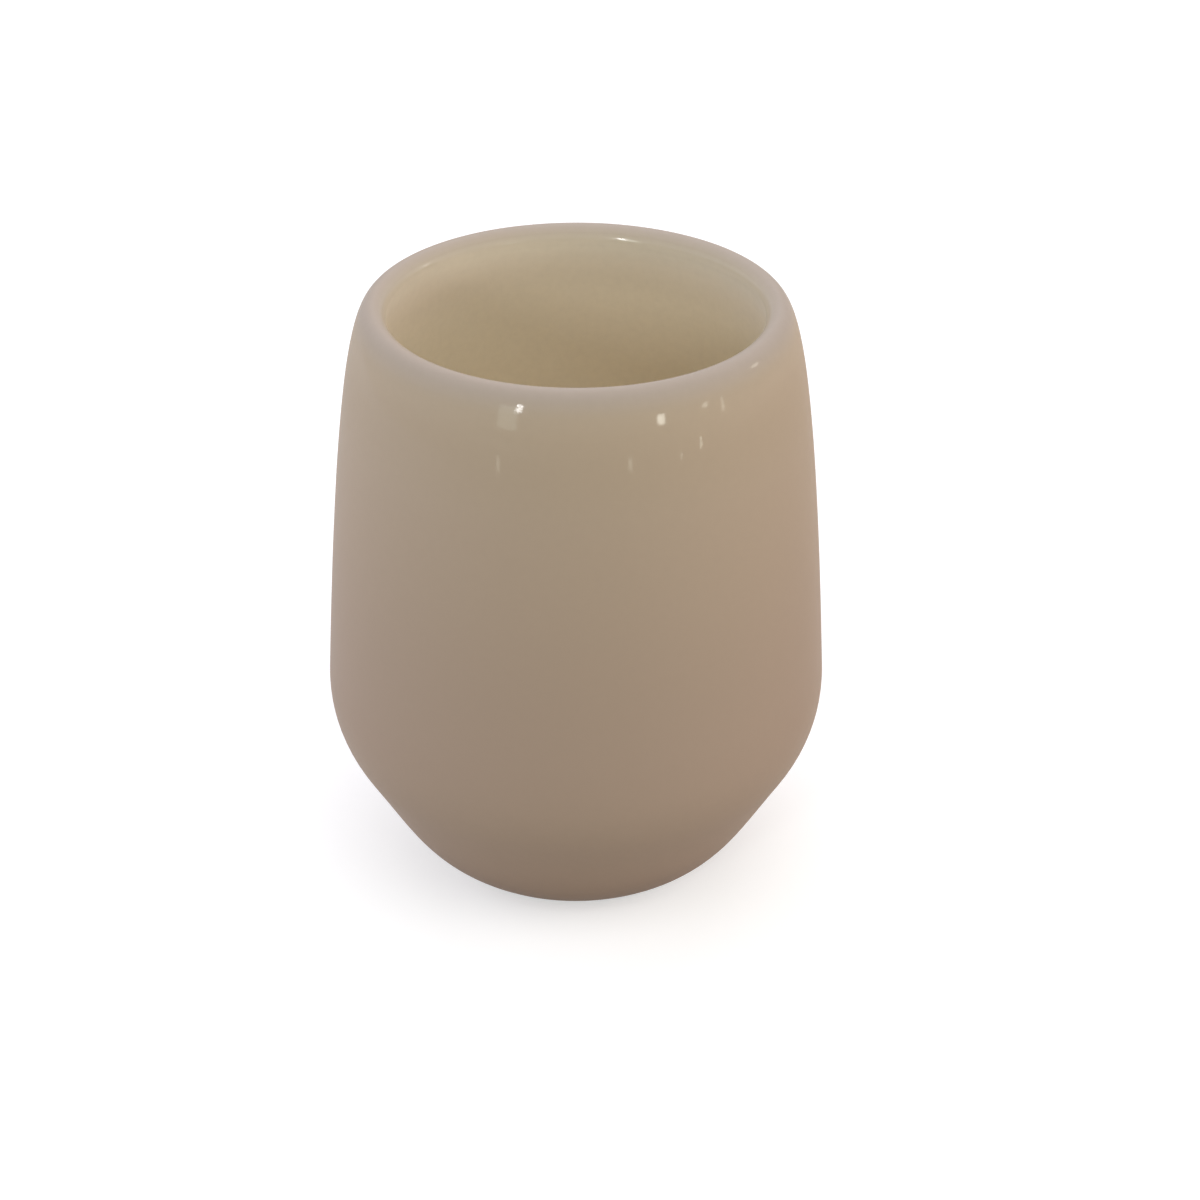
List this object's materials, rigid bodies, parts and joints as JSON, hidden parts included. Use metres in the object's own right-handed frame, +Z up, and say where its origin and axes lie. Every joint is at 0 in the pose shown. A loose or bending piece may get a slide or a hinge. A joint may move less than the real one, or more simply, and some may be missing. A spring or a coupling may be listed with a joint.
{
  "type": "porcelain teacup",
  "caption": "Handleless glazed porcelain teacup, taller than wide, with a low rounded belly, a wall leaning in to a soft lip and a recessed foot ring.",
  "frame": {"origin": "middle of the standing face of the foot ring, on the cup's axis", "axes": "+Z up along the cup's axis of revolution, X and Y level"},
  "size_m": [0.0706, 0.0706, 0.085],
  "materials": {
    "porcelain": "bare fired porcelain, matt and fine grained",
    "glaze": "clear gloss, ivory to beige"
  },
  "bodies": {
    "root": {"porcelain_body": "porcelain", "glaze_coat": "glaze", "base_glaze": "glaze"}
  },
  "joints": []
}
